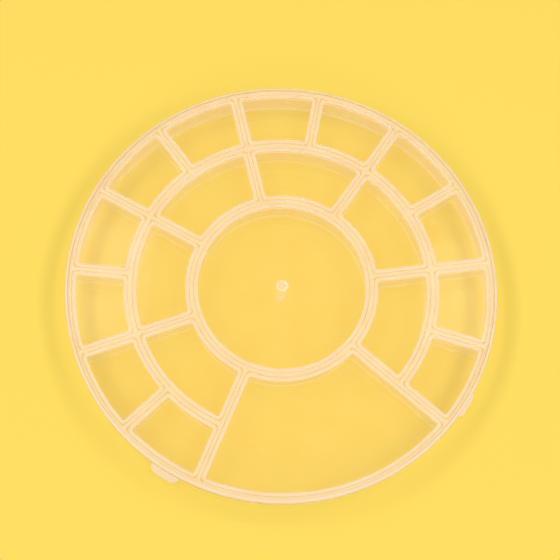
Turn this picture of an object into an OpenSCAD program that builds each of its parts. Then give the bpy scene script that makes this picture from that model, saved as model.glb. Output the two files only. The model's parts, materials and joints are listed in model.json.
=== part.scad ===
// Round parts organizer box: a shallow compartment base and a flat push-on lid.
// Origin at the centre of the underside, +Z up, the large bay on the -Y side.

/* [Lid] */
// Outer diameter of the lid's skirt
lid_d = 129; // [118:1:160]
// Thickness of the lid panel
lid_t = 1.2; // [0.8:0.1:2.4]
// Radius of the lid's rounded top edge
lid_edge_r = 0.8; // [0.2:0.1:1.5]
// Thickness of the lid's skirt
skirt_t = 0.7; // [0.6:0.05:1.5]
// Depth of the skirt below the panel
skirt_h = 2; // [1:0.1:4]
// Chamfer that leads the skirt over the base
lead_in = 0.3; // [0.1:0.05:0.5]
// Thickness of a locating rib under the lid
rib_t = 1.15; // [0.6:0.05:1.6]
// Depth of a locating rib below the panel
rib_h = 1.5; // [0.8:0.1:3]
// Radius of a locating rib's inner corners
rib_corner_r = 0.5; // [0.2:0.1:1.5]

/* [Base] */
// Thickness of the floor
floor_t = 1.2; // [0.8:0.1:2.4]
// Depth of a compartment, from floor to wall top
depth = 10.5; // [6:0.5:24]
// Thickness of the outer wall at its top
wall_t = 1; // [0.8:0.05:2.5]
// Angle at which the outer wall draws in towards the floor
wall_taper = 1; // [0:0.5:4]
// Thickness of the two ring walls at their tops
ring_t = 1.2; // [0.8:0.05:2.5]
// Thickness of the dividers at their tops
divider_t = 0.95; // [0.7:0.05:2.5]
// Draft on each face of a wall inside the box
draft = 1; // [0:0.25:2]
// Radius of the floor's lower edge
foot_r = 0.6; // [0.2:0.1:1.5]

/* [Layout] */
// Diameter of the inner ring, at the middle of its wall
inner_ring_d = 54; // [40:1:62]
// Diameter of the middle ring, at the middle of its wall
middle_ring_d = 90.6; // [80:0.2:98]
// Angle taken by the large bay, between its walls
bay_angle = 72; // [48:1:120]

/* [Finger tabs] */
// Width of a finger tab
tab_w = 9.4; // [6:0.2:14]
// Thickness of a finger tab
tab_t = 1.4; // [0.8:0.1:2.5]
// Reach of a finger tab past the lid's edge
tab_reach = 1.2; // [0.5:0.1:3]
// Radius of a finger tab's corners
tab_corner_r = 3; // [0.4:0.1:3.5]
// Angle from the middle of the bay to the first finger tabs
tab_angle = 45.5; // [30:0.5:60]

/* [Fits] */
// Gap between the skirt and the outer wall
skirt_gap = 0.15; // [0.1:0.05:0.4]
// Gap between a locating rib and the wall beside it
rib_gap = 0.15; // [0.1:0.05:0.4]

/* [Gate marks] */
// Diameter of the dimple round a gate mark
gate_d = 3.8; // [3:0.1:6]
// Depth of the dimple
gate_depth = 0.3; // [0.1:0.05:0.6]
// Diameter of the gate mark
gate_mark_d = 2; // [0.8:0.1:2.6]
// Height of the gate mark in its dimple
gate_mark_h = 0.2; // [0.05:0.05:0.5]

/* [Hidden] */
$fn = 192;
middle_cells = 6;
outer_cells = 2 * middle_cells;
cell_angle = (360 - bay_angle) / outer_cells;
bay_middle = -90;
first_wall = bay_middle + bay_angle / 2;
last_wall = first_wall + 360 - bay_angle;
tab_angles = [for (side = [1, -1], turn = [tab_angle, 180 - tab_angle]) bay_middle + side * turn];

wall_top = floor_t + depth;
flare = depth * tan(draft);
lid_r = lid_d / 2;
base_r = lid_r - skirt_t - skirt_gap;
base_foot_r = base_r - depth * tan(wall_taper);
well_r = inner_ring_d / 2 - ring_t / 2;
middle_row_in = inner_ring_d / 2 + ring_t / 2;
middle_row_out = middle_ring_d / 2 - ring_t / 2;
outer_row_in = middle_ring_d / 2 + ring_t / 2;
outer_row_out = base_r - wall_t;
tab_r = lid_r + tab_reach;
over = 1;

plastic = "#fbdc96";
clear_plastic = "#fdd23c";

function along(angle) = [cos(angle), sin(angle)];

// Half the thickness of a drafted wall at height z
function half_at(thickness, z) = thickness / 2 + (wall_top - z) * tan(draft);

// A ring wall that stands on the floor and thickens downwards on both faces
module ring_wall(mean_r) {
    rotate_extrude()
        polygon([
            [mean_r - half_at(ring_t, floor_t), floor_t],
            [mean_r + half_at(ring_t, floor_t), floor_t],
            [mean_r + half_at(ring_t, wall_top), wall_top],
            [mean_r - half_at(ring_t, wall_top), wall_top]
        ]);
}

// The room between two ring faces that are inner_r and outer_r apart at the top
module row_room(inner_r, outer_r) {
    rotate_extrude()
        polygon([
            [inner_r + flare, floor_t],
            [outer_r - flare, floor_t],
            [outer_r, wall_top],
            [inner_r, wall_top]
        ]);
}

// A long drafted wall from the axis outwards, taller than the box, to be cut to its row
module long_wall(angle) {
    low = floor_t - over;
    high = wall_top + over;
    rotate([0, 0, angle])
        rotate([90, 0, 90])
            linear_extrude(lid_r)
                polygon([
                    [-half_at(divider_t, low), low],
                    [half_at(divider_t, low), low],
                    [half_at(divider_t, high), high],
                    [-half_at(divider_t, high), high]
                ]);
}

module row_divider(angle, inner_r, outer_r) {
    intersection() {
        row_room(inner_r, outer_r);
        long_wall(angle);
    }
}

// The wedge between two radial walls, drawn in from their middle planes by inset
module wedge(from, to, inset) {
    apex = along((from + to) / 2) * inset / sin((to - from) / 2);
    polygon([
        apex,
        apex + lid_d * along(from),
        apex + lid_d * along((from + to) / 2),
        apex + lid_d * along(to)
    ]);
}

// What a round corner leaves out, beside a side that runs gap above the X axis. The side ends at an
// arc of radius arc_r, with out 1 for an outer arc and -1 for an inner one. The disc is a little
// larger than the corner, so that it meets the side and the arc at a clear angle.
module corner_cut(arc_r, out, gap, corner_r) {
    middle_r = arc_r - out * corner_r;
    turn = asin((gap + corner_r) / middle_r);
    middle = middle_r * along(turn);
    to_arc = 2 * out * corner_r * along(turn);
    to_side = [0, -2 * corner_r];
    difference() {
        polygon([middle, middle + to_arc, middle + to_arc + to_side, middle + to_side]);
        translate(middle)
            circle(1.02 * corner_r);
    }
}

// A compartment's outline at the wall tops, drawn in by inset, with round corners
module cell_outline(inner_r, outer_r, from, to, inset, corner_r) {
    gap = divider_t / 2 + inset;
    difference() {
        intersection() {
            difference() {
                circle(outer_r - inset);
                circle(inner_r + inset);
            }
            wedge(from, to, gap);
        }
        for (side = [0, 1])
            rotate(side == 0 ? from : to)
                mirror([0, side]) {
                    corner_cut(outer_r - inset, 1, gap, corner_r);
                    corner_cut(inner_r + inset, -1, gap, corner_r);
                }
    }
}

// A rib loop under the lid that follows a compartment's outline
module rib_loop(inner_r, outer_r, from, to) {
    translate([0, 0, wall_top - rib_h])
        linear_extrude(rib_h)
            difference() {
                cell_outline(inner_r, outer_r, from, to, rib_gap, rib_corner_r + rib_t);
                cell_outline(inner_r, outer_r, from, to, rib_gap + rib_t, rib_corner_r);
            }
}

// Half profile of a round plate with one rounded edge, at height 0 where rounded
module plate_profile(radius, thickness, edge_r) {
    round_r = min(edge_r, thickness * 0.9);
    square([radius - round_r, thickness]);
    translate([0, round_r])
        square([radius, thickness - round_r]);
    intersection() {
        translate([radius - round_r, round_r])
            circle(round_r);
        square([radius, round_r]);
    }
}

// The dimple round a gate mark, sunk upwards from height 0
module gate_dimple() {
    mark_h = min(gate_mark_h, gate_depth * 0.9);
    difference() {
        translate([0, 0, -over])
            cylinder(d = gate_d, h = over + gate_depth);
        translate([0, 0, gate_depth - mark_h])
            cylinder(d = gate_mark_d, h = mark_h + over);
    }
}

module base_floor() {
    color(clear_plastic)
        difference() {
            rotate_extrude()
                plate_profile(base_foot_r, floor_t, foot_r);
            gate_dimple();
        }
}

module outer_wall() {
    color(plastic)
        rotate_extrude()
            polygon([
                [outer_row_out - flare, floor_t],
                [base_foot_r, floor_t],
                [base_r, wall_top],
                [outer_row_out, wall_top]
            ]);
}

module inner_ring() {
    color(plastic)
        ring_wall(inner_ring_d / 2);
}

// The middle ring stops at the outer faces of the two bay walls
module middle_ring() {
    color(plastic)
        difference() {
            ring_wall(middle_ring_d / 2);
            long_wall(first_wall);
            long_wall(last_wall);
            linear_extrude(wall_top + over)
                wedge(last_wall - 360, first_wall, 0);
        }
}

module bay_wall(angle) {
    color(plastic)
        row_divider(angle, middle_row_in, outer_row_out);
}

module inner_divider(i) {
    color(plastic)
        row_divider(first_wall + 2 * i * cell_angle, middle_row_in, middle_row_out);
}

module outer_divider(i) {
    color(plastic)
        row_divider(first_wall + i * cell_angle, outer_row_in, outer_row_out);
}

// A finger tab with two rounded corners, cut to the foot of the base
module finger_tab(i) {
    corner_r = min(tab_corner_r, tab_w / 2 - 0.1);
    color(plastic)
        difference() {
            rotate([0, 0, tab_angles[i - 1]])
                translate([0, 0, foot_r])
                    linear_extrude(tab_t) {
                        translate([0, -tab_w / 2])
                            square([tab_r - corner_r, tab_w]);
                        translate([0, corner_r - tab_w / 2])
                            square([tab_r, tab_w - 2 * corner_r]);
                        for (side = [-1, 1])
                            translate([tab_r - corner_r, side * (tab_w / 2 - corner_r)])
                                circle(corner_r);
                    }
            rotate_extrude()
                polygon([[0, -over], [base_foot_r, -over], [base_foot_r, floor_t], [base_r, wall_top], [0, wall_top]]);
        }
}

module lid_panel() {
    color(clear_plastic)
        translate([0, 0, wall_top + lid_t])
            mirror([0, 0, 1])
                difference() {
                    rotate_extrude()
                        plate_profile(lid_r, lid_t, lid_edge_r);
                    gate_dimple();
                }
}

module lid_skirt() {
    inner_r = lid_r - skirt_t;
    low = wall_top - skirt_h;
    color(plastic)
        rotate_extrude()
            polygon([
                [inner_r + lead_in, low],
                [lid_r, low],
                [lid_r, wall_top],
                [inner_r, wall_top],
                [inner_r, low + lead_in]
            ]);
}

module lid_rib_outer(i) {
    from = first_wall + (i - 1) * cell_angle;
    color(plastic)
        rib_loop(outer_row_in, outer_row_out, from, from + cell_angle);
}

module lid_rib_middle(i) {
    from = first_wall + 2 * (i - 1) * cell_angle;
    color(plastic)
        rib_loop(middle_row_in, middle_row_out, from, from + 2 * cell_angle);
}

module lid_rib_bay() {
    color(plastic)
        rib_loop(middle_row_in, outer_row_out, last_wall - 360, first_wall);
}

module lid_rib_well() {
    color(plastic)
        translate([0, 0, wall_top - rib_h])
            difference() {
                cylinder(r = well_r - rib_gap, h = rib_h);
                translate([0, 0, -over])
                    cylinder(r = well_r - rib_gap - rib_t, h = rib_h + 2 * over);
            }
}

base_floor();
outer_wall();
middle_ring();
inner_ring();
bay_wall(last_wall);  // bay_wall_left
bay_wall(first_wall);  // bay_wall_right
for (i = [1 : middle_cells - 1])
    inner_divider(i);
for (i = [1 : outer_cells - 1])
    outer_divider(i);
for (i = [1 : len(tab_angles)])
    finger_tab(i);
lid_panel();
lid_skirt();
for (i = [1 : outer_cells])
    lid_rib_outer(i);
for (i = [1 : middle_cells])
    lid_rib_middle(i);
lid_rib_bay();
lid_rib_well();
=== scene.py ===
import json
import math

import bmesh
import bpy
from mathutils import Matrix, Vector


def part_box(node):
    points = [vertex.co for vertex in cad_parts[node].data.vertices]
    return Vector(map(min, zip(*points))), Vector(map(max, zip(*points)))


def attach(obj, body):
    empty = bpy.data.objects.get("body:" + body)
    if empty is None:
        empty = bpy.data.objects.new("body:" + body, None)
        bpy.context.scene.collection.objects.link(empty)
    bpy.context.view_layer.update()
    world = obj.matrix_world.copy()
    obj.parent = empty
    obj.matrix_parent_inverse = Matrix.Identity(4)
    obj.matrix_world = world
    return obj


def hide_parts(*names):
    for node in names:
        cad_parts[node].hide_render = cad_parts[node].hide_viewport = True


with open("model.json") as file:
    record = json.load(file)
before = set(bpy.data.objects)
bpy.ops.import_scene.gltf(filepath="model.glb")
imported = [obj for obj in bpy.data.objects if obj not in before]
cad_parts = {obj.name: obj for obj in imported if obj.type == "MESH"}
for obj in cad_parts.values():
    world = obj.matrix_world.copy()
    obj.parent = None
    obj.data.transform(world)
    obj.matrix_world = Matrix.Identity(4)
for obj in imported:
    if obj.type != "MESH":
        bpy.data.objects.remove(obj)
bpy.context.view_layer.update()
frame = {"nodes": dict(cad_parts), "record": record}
scene = bpy.context.scene
bodies = frame["record"]["behaviour"]["bodies"]
mm = 0.001
zAxis = (0, 0, 1)
print("frame loaded:", len(frame["nodes"]), "nodes")

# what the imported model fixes, in mm
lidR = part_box("lid_skirt")[1].x / mm
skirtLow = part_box("lid_skirt")[0].z / mm
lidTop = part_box("lid_panel")[1].z / mm
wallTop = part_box("lid_panel")[0].z / mm
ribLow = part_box("lid_rib_well")[0].z / mm
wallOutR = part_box("outer_wall")[1].x / mm
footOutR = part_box("base_floor")[1].x / mm
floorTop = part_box("base_floor")[1].z / mm
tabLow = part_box("finger_tab_1")[0].z / mm
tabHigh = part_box("finger_tab_1")[1].z / mm

baseMoulding = {  # mm and degrees, wall thicknesses at the wall tops
    "wallT": 1,
    "ringT": 1.2,
    "dividerT": 0.95,
    "innerRingD": 54,
    "middleRingD": 90.6,
    "bayAngle": 72,
    "outerCells": 12,
    "draft": 1,
    "wallTopR": 0.15,
    "cornerR": 0.9,
    "filletR": 0.4,
    "seatGap": 0.05,  # the walls stop this far short of the lid panel
}

# compartments at the wall tops, each as inner radius, outer radius and the angles of its two walls
halfRing = baseMoulding["ringT"] / 2
wellR = baseMoulding["innerRingD"] / 2 - halfRing
middleRowIn = baseMoulding["innerRingD"] / 2 + halfRing
middleRowOut = baseMoulding["middleRingD"] / 2 - halfRing
outerRowIn = baseMoulding["middleRingD"] / 2 + halfRing
outerRowOut = wallOutR - baseMoulding["wallT"]
firstWall = baseMoulding["bayAngle"] / 2 - 90
cellAngle = (360 - baseMoulding["bayAngle"]) / baseMoulding["outerCells"]


def rowOfCells(innerR, outerR, count):
    span = cellAngle * baseMoulding["outerCells"] / count
    return [(innerR, outerR, firstWall + span * i, firstWall + span * (i + 1)) for i in range(count)]


cells = rowOfCells(outerRowIn, outerRowOut, baseMoulding["outerCells"])
cells += rowOfCells(middleRowIn, middleRowOut, baseMoulding["outerCells"] // 2)
cells.append((middleRowIn, outerRowOut, firstWall - baseMoulding["bayAngle"], firstWall))

meshing = {
    "near": 0.01,  # mm, what counts as the same place
    "weld": 1e-5,  # mm
    "spinSteps": 240,
    "arcStep": 2.2,  # mm, longer than a compartment's corner radius
    "levelAngle": 1,  # degrees, a tab's faces that are this level with each other become one
    "sharpAngle": 40,  # degrees
}
near = meshing["near"]


def polar(radius, degrees, z=0):
    turn = math.radians(degrees)
    return Vector((radius * math.cos(turn), radius * math.sin(turn), z))


def arcPoints(across, up, radius, fromDeg, toDeg, count=5):
    turns = [math.radians(fromDeg + (toDeg - fromDeg) * i / count) for i in range(count + 1)]
    return [(across + radius * math.cos(t), up + radius * math.sin(t)) for t in turns]


def spinProfile(bm, points):
    verts = [bm.verts.new((across, 0, up)) for across, up in points]
    edges = [bm.edges.new(pair) for pair in zip(verts, verts[1:])]
    bmesh.ops.spin(
        bm, geom=verts + edges, cent=(0, 0, 0), axis=zAxis,
        angle=math.tau, steps=meshing["spinSteps"], use_merge=True,
    )
    bmesh.ops.remove_doubles(bm, verts=bm.verts, dist=meshing["weld"])  # closes the pole


def cellFace(bm, cell, inset, cornerR, z):
    # two arcs joined by straight sides, with round corners
    innerR, outerR, fromDeg, toDeg = cell
    known = set(bm.edges)
    arcEnds = []
    for radius in (innerR + inset, outerR - inset):
        lean = math.degrees(math.asin((baseMoulding["dividerT"] / 2 + inset) / radius))
        sweep = math.radians(toDeg - fromDeg - 2 * lean)
        steps = round(sweep * radius / meshing["arcStep"])
        first = bm.verts.new(polar(radius, fromDeg + lean, z))
        spun = bmesh.ops.spin(bm, geom=[first], cent=(0, 0, 0), axis=zAxis, angle=sweep, steps=steps)
        last = next(g for g in spun["geom_last"] if isinstance(g, bmesh.types.BMVert))
        arcEnds.append((first, last))
    for pair in zip(*arcEnds):
        bm.edges.new(pair)
    corners = [v for pair in arcEnds for v in pair]
    bmesh.ops.bevel(
        bm, geom=corners, offset=cornerR, segments=4, profile=0.5, affect="VERTICES", material=-1
    )
    outline = [e for e in bm.edges if e not in known]
    return bmesh.ops.contextual_create(bm, geom=outline)["faces"][0]


def wellFace(bm, radius, z):
    place = Matrix.Translation((0, 0, z))
    steps = meshing["spinSteps"] // 2
    made = bmesh.ops.create_circle(bm, cap_ends=True, radius=radius, segments=steps, matrix=place)
    return made["verts"][0].link_faces[0]


def followProfile(bm, face, facing, profile):
    # insets and pushes a face step by step, profile holds pairs of inset and depth from the start
    bm.normal_update()
    if face.normal.z * facing < 0:
        face.normal_flip()
        bm.normal_update()
    for (inset, depth), (nextInset, nextDepth) in zip(profile, profile[1:]):
        bmesh.ops.inset_region(
            bm, faces=[face], thickness=nextInset - inset, depth=nextDepth - depth,
            use_boundary=True, use_even_offset=True,
        )


def closeMoulding(bm):
    rims = [e for e in bm.edges if e.is_boundary]
    bmesh.ops.triangle_fill(bm, use_beauty=True, edges=rims)  # the flat between the rim and the outlines
    bmesh.ops.recalc_face_normals(bm, faces=bm.faces)


gateMark = {"d": 3.8, "depth": 0.3, "markD": 2, "markH": 0.2}  # mm, the same on both mouldings


def gateProfile(z, facing):
    # from the axis outwards, the mark and the dimple round it
    bottom = z - facing * gateMark["depth"]
    top = bottom + facing * gateMark["markH"]
    markR, dimpleR = gateMark["markD"] / 2, gateMark["d"] / 2
    return [(0, top), (markR, top), (markR, bottom), (dimpleR, bottom), (dimpleR, z)]


fingerTab = {"width": 9.4, "reach": 1.2, "cornerR": 2.3, "angle": 45.5}  # mm and degrees


def addTab(bm, degrees):
    out, side = polar(1, degrees), polar(1, degrees + 90)
    halfW = fingerTab["width"] / 2
    tipR = lidR + fingerTab["reach"]

    def footFaces(width):
        found = []
        for face in bm.faces:
            middle = face.calc_center_median()
            if tabLow < middle.z < tabHigh and middle.dot(out) > 0 and abs(middle.dot(side)) < width:
                found.append(face)
        return found

    for sign in (-1, 1):
        band = footFaces(2 * halfW)
        geom = band + list({e for f in band for e in f.edges}) + list({v for f in band for v in f.verts})
        bmesh.ops.bisect_plane(bm, geom=geom, plane_co=side * halfW * sign, plane_no=side)
    root = footFaces(halfW)
    made = bmesh.ops.extrude_face_region(bm, geom=root)["geom"]
    bmesh.ops.delete(bm, geom=root, context="FACES")
    tip = [g for g in made if isinstance(g, bmesh.types.BMVert)]
    for vert in tip:
        vert.co += out * (tipR - vert.co.dot(out))
    bm.normal_update()
    sides = {f for v in tip for f in v.link_faces}
    edges = list({e for f in sides for e in f.edges})
    bmesh.ops.dissolve_limit(bm, angle_limit=math.radians(meshing["levelAngle"]), verts=tip, edges=edges)
    ends = [e for e in bm.edges if all(abs(v.co.dot(out) - tipR) < near for v in e.verts)]
    upright = [e for e in ends if abs(e.verts[0].co.z - e.verts[1].co.z) > near]
    bmesh.ops.bevel(
        bm, geom=upright, offset=fingerTab["cornerR"], segments=6, profile=0.5, affect="EDGES", material=-1
    )


def hexColour(code):
    parts = [int(code[i:i + 2], 16) / 255 for i in (1, 3, 5)]
    return [c / 12.92 if c <= 0.04045 else ((c + 0.055) / 1.055) ** 2.4 for c in parts] + [1]


def addNode(tree, kind, settings=None, links=None):
    node = tree.nodes.new(kind)
    for key, value in (settings or {}).items():
        if isinstance(key, int) or key in node.inputs:
            node.inputs[key].default_value = value
        else:
            setattr(node, key, value)
    for key, socket in (links or {}).items():
        tree.links.new(socket, node.inputs[key])
    return node


def newTree(owner):
    owner.use_nodes = True
    owner.node_tree.nodes.clear()
    return owner.node_tree


def splitByRay(tree, shader, others):
    # some kinds of ray meet another shader
    path = addNode(tree, "ShaderNodeLightPath")
    for ray, other in others.items():
        links = {0: path.outputs[ray], 1: shader, 2: other}
        shader = addNode(tree, "ShaderNodeMixShader", links=links).outputs[0]
    return shader


polypropylene = {  # what all its looks share
    "ior": 1.49,
    "patchFrom": 0.35,  # the noise runs from one tint to the other between these
    "patchTo": 0.65,
    "peelDepth": 0.05,  # mm
}


def mouldedPlastic(look):
    material = bpy.data.materials.new(look["name"])
    tree = newTree(material)
    place = addNode(tree, "ShaderNodeTexCoord").outputs["Object"]
    cloud = addNode(
        tree, "ShaderNodeTexNoise", {"Scale": 1 / (look["cloudSize"] * mm), "Detail": 3}, {"Vector": place}
    ).outputs["Fac"]
    patch = addNode(
        tree, "ShaderNodeMapRange",
        {"From Min": polypropylene["patchFrom"], "From Max": polypropylene["patchTo"]},
        {"Value": cloud},
    )
    tint = addNode(
        tree, "ShaderNodeMix",
        {"data_type": "RGBA", 6: hexColour(look["tint"]), 7: hexColour(look["milkier"])},
        {0: patch.outputs[0]},
    )
    gloss = addNode(
        tree, "ShaderNodeMapRange", {"To Min": look["roughness"][0], "To Max": look["roughness"][1]},
        {"Value": cloud},
    )
    peel = addNode(
        tree, "ShaderNodeTexNoise", {"Scale": 1 / (look["peelSize"] * mm), "Detail": 2}, {"Vector": place}
    )
    bump = addNode(
        tree, "ShaderNodeBump",
        {"Strength": look["peel"], "Distance": polypropylene["peelDepth"] * mm},
        {"Height": peel.outputs["Fac"]},
    )
    plastic = addNode(
        tree, "ShaderNodeBsdfPrincipled",
        {"IOR": polypropylene["ior"], "Transmission Weight": look["clear"]},
        {"Base Color": tint.outputs[2], "Roughness": gloss.outputs[0], "Normal": bump.outputs[0]},
    )
    shader = plastic.outputs[0]
    opened = addNode(tree, "ShaderNodeBsdfTransparent").outputs[0]
    if look["haze"] < 1:
        glow = addNode(tree, "ShaderNodeBsdfTranslucent", links={"Color": tint.outputs[2]})
        lit = addNode(tree, "ShaderNodeMixShader", {0: look["glow"]}, {1: shader, 2: glow.outputs[0]})
        hazy = addNode(tree, "ShaderNodeMixShader", {0: look["haze"]}, {1: opened, 2: lit.outputs[0]})
        shader = hazy.outputs[0]
    # bounced light and lamps pass straight through, so what is under the plastic stays lit
    shaded = addNode(tree, "ShaderNodeBsdfTransparent", {"Color": hexColour(look["shade"])}).outputs[0]
    shader = splitByRay(tree, shader, {"Is Diffuse Ray": opened, "Is Shadow Ray": shaded})
    addNode(tree, "ShaderNodeOutputMaterial", links={"Surface": shader})
    return material


# natural polypropylene from a polished mould: a thin flat panel is almost clear; sizes in mm
clearPanel = {
    "name": "polypropylenePolishedPanel",
    "tint": "#FFFBF0",
    "milkier": "#FFF8E8",
    "clear": 0.98,
    "haze": 1,
    "glow": 0,
    "roughness": (0.03, 0.07),
    "cloudSize": 9,
    "peelSize": 1.2,
    "peel": 0.02,
    "shade": "#FFFEFD",
}
# looked through from the side, a wall is a little hazy
hazySide = {
    "name": "polypropyleneHazySide",
    "tint": "#FFF0E6",
    "milkier": "#FFEADC",
    "clear": 0,
    "haze": 0.55,
    "glow": 0.3,
    "roughness": (0.22, 0.34),
    "cloudSize": 6,
    "peelSize": 0.8,
    "peel": 0.05,
    "shade": "#FBF8F2",
}
# the underside lies flat on what it stands on, so it hides next to nothing of it
flatUnder = dict(hazySide, name="polypropyleneUnderside", haze=0.04)
# fillets at the floor, the inside of the skirt and the groove round the lower mark only blur what is behind
faintRelief = dict(hazySide, name="polypropyleneFaintRelief", haze=0.25)
# looked at along its height, the same wall is milky, with a soft glow from inside
milkyEdge = dict(hazySide, name="polypropyleneMilkyEdge", haze=0.92, shade="#F2EDE2")
# the rounded rim of the lid and the skirt under it throw the soft shadow beside the box
milkyRim = dict(milkyEdge, name="polypropyleneMilkyRim", shade="#6A5D48")
hazySkirt = dict(hazySide, name="polypropyleneHazySkirt", shade=milkyRim["shade"])
# the gate ring: some stress-whitening where the sprue was cut, plus painted highlights, as the white tint
# and its small noise patches stand in for glints of the lamps on the ring
gateBlushAndPaintedGlint = {
    "name": "polypropyleneGateBlushAndPaintedGlint",
    "tint": "#FFFFFF",
    "milkier": "#FFE6A8",
    "clear": 0,
    "haze": 0.85,
    "glow": 0.3,
    "roughness": (0.15, 0.35),
    # small patches break the white ring into painted glints
    "cloudSize": 0.8,
    "peelSize": 0.4,
    "peel": 0.3,
    "shade": "#FBF8F2",
}
looks = (clearPanel, hazySide, flatUnder, faintRelief, milkyEdge, milkyRim, hazySkirt, gateBlushAndPaintedGlint)
plastics = [mouldedPlastic(look) for look in looks]
panelSlot, sideSlot, underSlot, faintSlot, edgeSlot, rimSlot, skirtSlot, gateSlot = range(len(looks))
print("plastic mixed in", len(plastics), "looks")

slotLimits = {  # mm, and tilts from 0 on a wall to 1 on a flat
    "outside": 0.1,  # further out than the foot less this
    "aboveFloor": 1,
    "upright": 0.1,
    "top": 0.3,
    "flat": 0.99,
}


def pickSlot(face, body):
    middle, tilt = face.calc_center_median(), abs(face.normal.z)
    radius, isBase = middle.xy.length, body == "base"
    inner = floorTop if isBase else wallTop  # the panel's face inside the box
    inPanel = middle.z < inner + near if isBase else middle.z > inner - near
    if inPanel and radius < gateMark["d"] / 2 and abs(middle.z - inner) > near:
        ringSlot = faintSlot if isBase else gateSlot
        return ringSlot if radius > gateMark["markD"] / 2 - near else sideSlot
    isOutside = radius > footOutR - slotLimits["outside"]
    isUpright = tilt < slotLimits["upright"]
    isRibSide = isUpright and not isBase and not isOutside
    if isRibSide or inPanel and tilt > slotLimits["flat"]:
        return underSlot if middle.z < near else panelSlot
    if isOutside and not isBase:
        if not isUpright:
            return rimSlot
        return skirtSlot if radius > lidR - lidMoulding["skirtT"] / 2 else faintSlot
    if isBase and not isOutside and near < middle.z - floorTop < baseMoulding["filletR"]:
        return faintSlot
    if isOutside:
        isTop = middle.z > tabLow
    else:
        isTop = middle.z > floorTop + slotLimits["aboveFloor"] and not inPanel
    return edgeSlot if isTop and tilt > slotLimits["top"] else sideSlot


def finishPiece(name, bm, body):
    for face in bm.faces:
        face.smooth = True
        face.material_index = pickSlot(face, body)
    bmesh.ops.scale(bm, vec=(mm, mm, mm), verts=bm.verts)
    mesh = bpy.data.meshes.new(name)
    bm.to_mesh(mesh)
    bm.free()
    mesh.set_sharp_from_angle(angle=math.radians(meshing["sharpAngle"]))
    piece = bpy.data.objects.new(name, mesh)
    scene.collection.objects.link(piece)
    for plastic in plastics:
        mesh.materials.append(plastic)
    weighted = piece.modifiers.new("flatFaces", "WEIGHTED_NORMAL")
    weighted.keep_sharp = True
    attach(piece, body)
    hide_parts(*bodies[body])
    print(name, "made with", len(mesh.polygons), "faces")


def makeBase(sizes):
    bm = bmesh.new()
    edgeR, filletR = sizes["wallTopR"], sizes["filletR"]
    rimZ = wallTop - sizes["seatGap"]
    lean = (wallOutR - footOutR) / (rimZ - tabLow)
    outside = gateProfile(0, -1)
    outside += arcPoints(footOutR - tabLow, tabLow, tabLow, -90, 0)
    outside.append((footOutR + (tabHigh - tabLow) * lean, tabHigh))
    outside += arcPoints(wallOutR - edgeR, rimZ - edgeR, edgeR, 0, 90)
    spinProfile(bm, outside)
    for side in (1, -1):
        for turn in (fingerTab["angle"], 180 - fingerTab["angle"]):
            addTab(bm, side * turn - 90)

    # a round edge at the top, a drafted side and a fillet at the floor
    depth = rimZ - floorTop
    flare = depth * math.tan(math.radians(sizes["draft"]))
    sides = [(across - edgeR, up - edgeR) for across, up in arcPoints(0, 0, edgeR, 90, 0)]
    sides += arcPoints(flare + filletR, filletR - depth, filletR, 180, 270)
    for cell in cells:
        followProfile(bm, cellFace(bm, cell, -edgeR, sizes["cornerR"] + edgeR, rimZ), 1, sides)
    followProfile(bm, wellFace(bm, wellR + edgeR, rimZ), 1, sides)
    closeMoulding(bm)
    finishPiece("baseMoulding", bm, "base")


lidMoulding = {  # mm
    "edgeR": 0.8,
    "skirtT": 0.7,
    "leadIn": 0.3,
    "ribGap": 0.15,
    "ribT": 1.15,
    "ribEdgeR": 0.2,
    "ribCornerR": 1.65,
}


def makeLid(sizes):
    bm = bmesh.new()
    edgeR, ribEdgeR, ribT = sizes["edgeR"], sizes["ribEdgeR"], sizes["ribT"]
    skirtIn = lidR - sizes["skirtT"]
    outside = gateProfile(lidTop, 1)
    outside += arcPoints(lidR - edgeR, lidTop - edgeR, edgeR, 90, 0)
    outside += [(lidR, skirtLow), (skirtIn + sizes["leadIn"], skirtLow)]
    outside += [(skirtIn, skirtLow + sizes["leadIn"]), (skirtIn, wallTop)]
    spinProfile(bm, outside)

    # a rib loop down from the panel and up again, with a round lower edge
    turn = wallTop - ribLow - ribEdgeR
    loop = [(0, 0), *arcPoints(ribEdgeR, turn, ribEdgeR, 180, 90)]
    loop += [*arcPoints(ribT - ribEdgeR, turn, ribEdgeR, 90, 0), (ribT, 0)]
    for cell in cells:
        followProfile(bm, cellFace(bm, cell, sizes["ribGap"], sizes["ribCornerR"], wallTop), -1, loop)
    followProfile(bm, wellFace(bm, wellR - sizes["ribGap"], wallTop), -1, loop)
    closeMoulding(bm)
    finishPiece("lidMoulding", bm, "lid")


makeBase(baseMoulding)
makeLid(lidMoulding)

photoCamera = {  # degrees and mm, aimed near the middle of the wall tops
    "azimuth": -19.4,
    "elevation": 72.92,
    "roll": 6.31,
    "distance": 400,
    "right": -0.8,
    "up": 1.9275,
    "lens": 86.17,
}
elevation, roll = math.radians(photoCamera["elevation"]), math.radians(photoCamera["roll"])
right = polar(1, photoCamera["azimuth"])
back = right.cross(zAxis) * math.cos(elevation) + Vector(zAxis) * math.sin(elevation)
up = back.cross(right)
eye = Vector((0, 0, wallTop)) + back * photoCamera["distance"]
eye += right * photoCamera["right"] + up * photoCamera["up"]
axes = Matrix((right, up, back)).transposed() @ Matrix.Rotation(roll, 3, "Z")
camera = bpy.data.objects.new("photoCamera", bpy.data.cameras.new("photoCamera"))
camera.data.lens = photoCamera["lens"]
camera.matrix_world = Matrix.Translation(eye * mm) @ axes.to_4x4()
scene.collection.objects.link(camera)
scene.camera = camera
print("camera placed")

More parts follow.
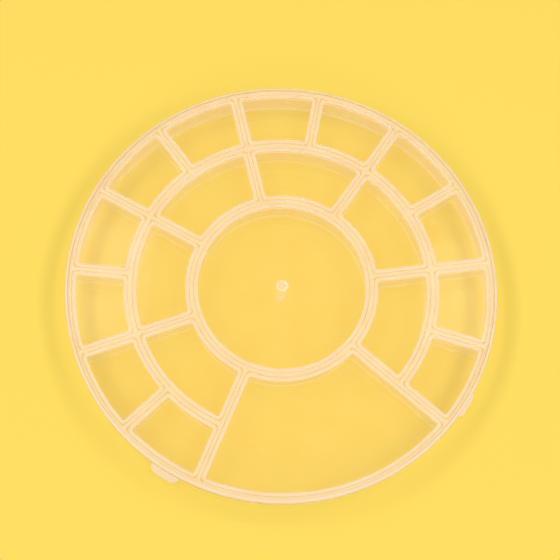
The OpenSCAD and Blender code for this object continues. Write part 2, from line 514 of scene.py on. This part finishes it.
studio = {
    "floor": "#FFE066",
    "floorGap": 0.1,  # mm under the base
    "floorR": 3,  # m
    "plainFrom": 0.16,  # m, further out the eye sees an evenly lit floor
    "plainTo": 0.4,
    "light": "#FFFCF6",
    "worldStrength": 0.36,
    "bounces": 24,  # enough for a look through the lid, the walls and the floor
    "openBounces": 32,  # through the open share of the hazy looks
}
softboxes = {  # m and watts: across and up the picture, height, width, depth, power
    "leftBox": (-0.56, 0, 1, 0.32, 0.9, 4.3),
    "rightBox": (0.56, 0, 1, 0.32, 0.9, 4.3),
    "nearBox": (0, -0.9, 1, 0.9, 0.7, 3.4),
    "leftFill": (-0.4, 0.47, 1.6, 0.4, 0.2, 0.14),
    "rightFill": (0.42, 0.51, 1.6, 0.4, 0.16, 0.12),
}
seenRays = ("Is Camera Ray", "Is Glossy Ray", "Is Transmission Ray")  # the camera, mirrors, clear plastic


def makeFloor():
    bm = bmesh.new()
    level = Matrix.Translation((0, 0, -studio["floorGap"] * mm))
    bmesh.ops.create_circle(bm, cap_ends=True, radius=studio["floorR"], segments=96, matrix=level)
    mesh = bpy.data.meshes.new("paleFloor")
    bm.to_mesh(mesh)
    bm.free()
    floor = bpy.data.objects.new("paleFloor", mesh)
    scene.collection.objects.link(floor)
    paper = bpy.data.materials.new("mattPaper")
    tree = newTree(paper)
    matt = addNode(tree, "ShaderNodeBsdfDiffuse", {"Color": hexColour(studio["floor"])}).outputs[0]
    even = addNode(tree, "ShaderNodeEmission", {"Color": hexColour(studio["floor"])}).outputs[0]
    place = addNode(tree, "ShaderNodeTexCoord").outputs["Object"]
    reach = addNode(tree, "ShaderNodeVectorMath", {"operation": "LENGTH"}, {0: place})
    fade = addNode(
        tree, "ShaderNodeMapRange", {"From Min": studio["plainFrom"], "From Max": studio["plainTo"]},
        {"Value": reach.outputs["Value"]},
    )
    seen = addNode(tree, "ShaderNodeMixShader", links={0: fade.outputs[0], 1: matt, 2: even}).outputs[0]
    shader = splitByRay(tree, matt, dict.fromkeys(seenRays, seen))
    addNode(tree, "ShaderNodeOutputMaterial", links={"Surface": shader})
    mesh.materials.append(paper)


def placeSoftboxes():
    away = Vector(zAxis).cross(right)
    for name, (across, ahead, height, width, depth, watts) in softboxes.items():
        lamp = bpy.data.lights.new(name, "AREA")
        lamp.shape = "RECTANGLE"
        lamp.size, lamp.size_y = width, depth
        lamp.energy = watts
        lamp.color = hexColour(studio["light"])[:3]
        holder = bpy.data.objects.new(name, lamp)
        place = right * across + away * ahead + Vector((0, 0, height))
        facing = place.normalized()
        level = away.cross(facing).normalized()
        turn = Matrix((level, facing.cross(level), facing)).transposed()
        holder.matrix_world = Matrix.Translation(place) @ turn.to_4x4()
        scene.collection.objects.link(holder)


def makeBackdrop():
    # a plain wall of the floor's colour is seen, and soft light comes from all round
    world = bpy.data.worlds.new("studio")
    scene.world = world
    tree = newTree(world)
    light = addNode(
        tree, "ShaderNodeBackground",
        {"Color": hexColour(studio["light"]), "Strength": studio["worldStrength"]},
    ).outputs[0]
    wall = addNode(tree, "ShaderNodeBackground", {"Color": hexColour(studio["floor"])}).outputs[0]
    shader = splitByRay(tree, light, dict.fromkeys(seenRays, wall))
    addNode(tree, "ShaderNodeOutputWorld", links={"Surface": shader})


makeFloor()
placeSoftboxes()
makeBackdrop()
scene.view_settings.view_transform = "Standard"
scene.cycles.max_bounces = studio["bounces"]
scene.cycles.transmission_bounces = studio["bounces"]
scene.cycles.transparent_max_bounces = studio["openBounces"]
print("stage lit")
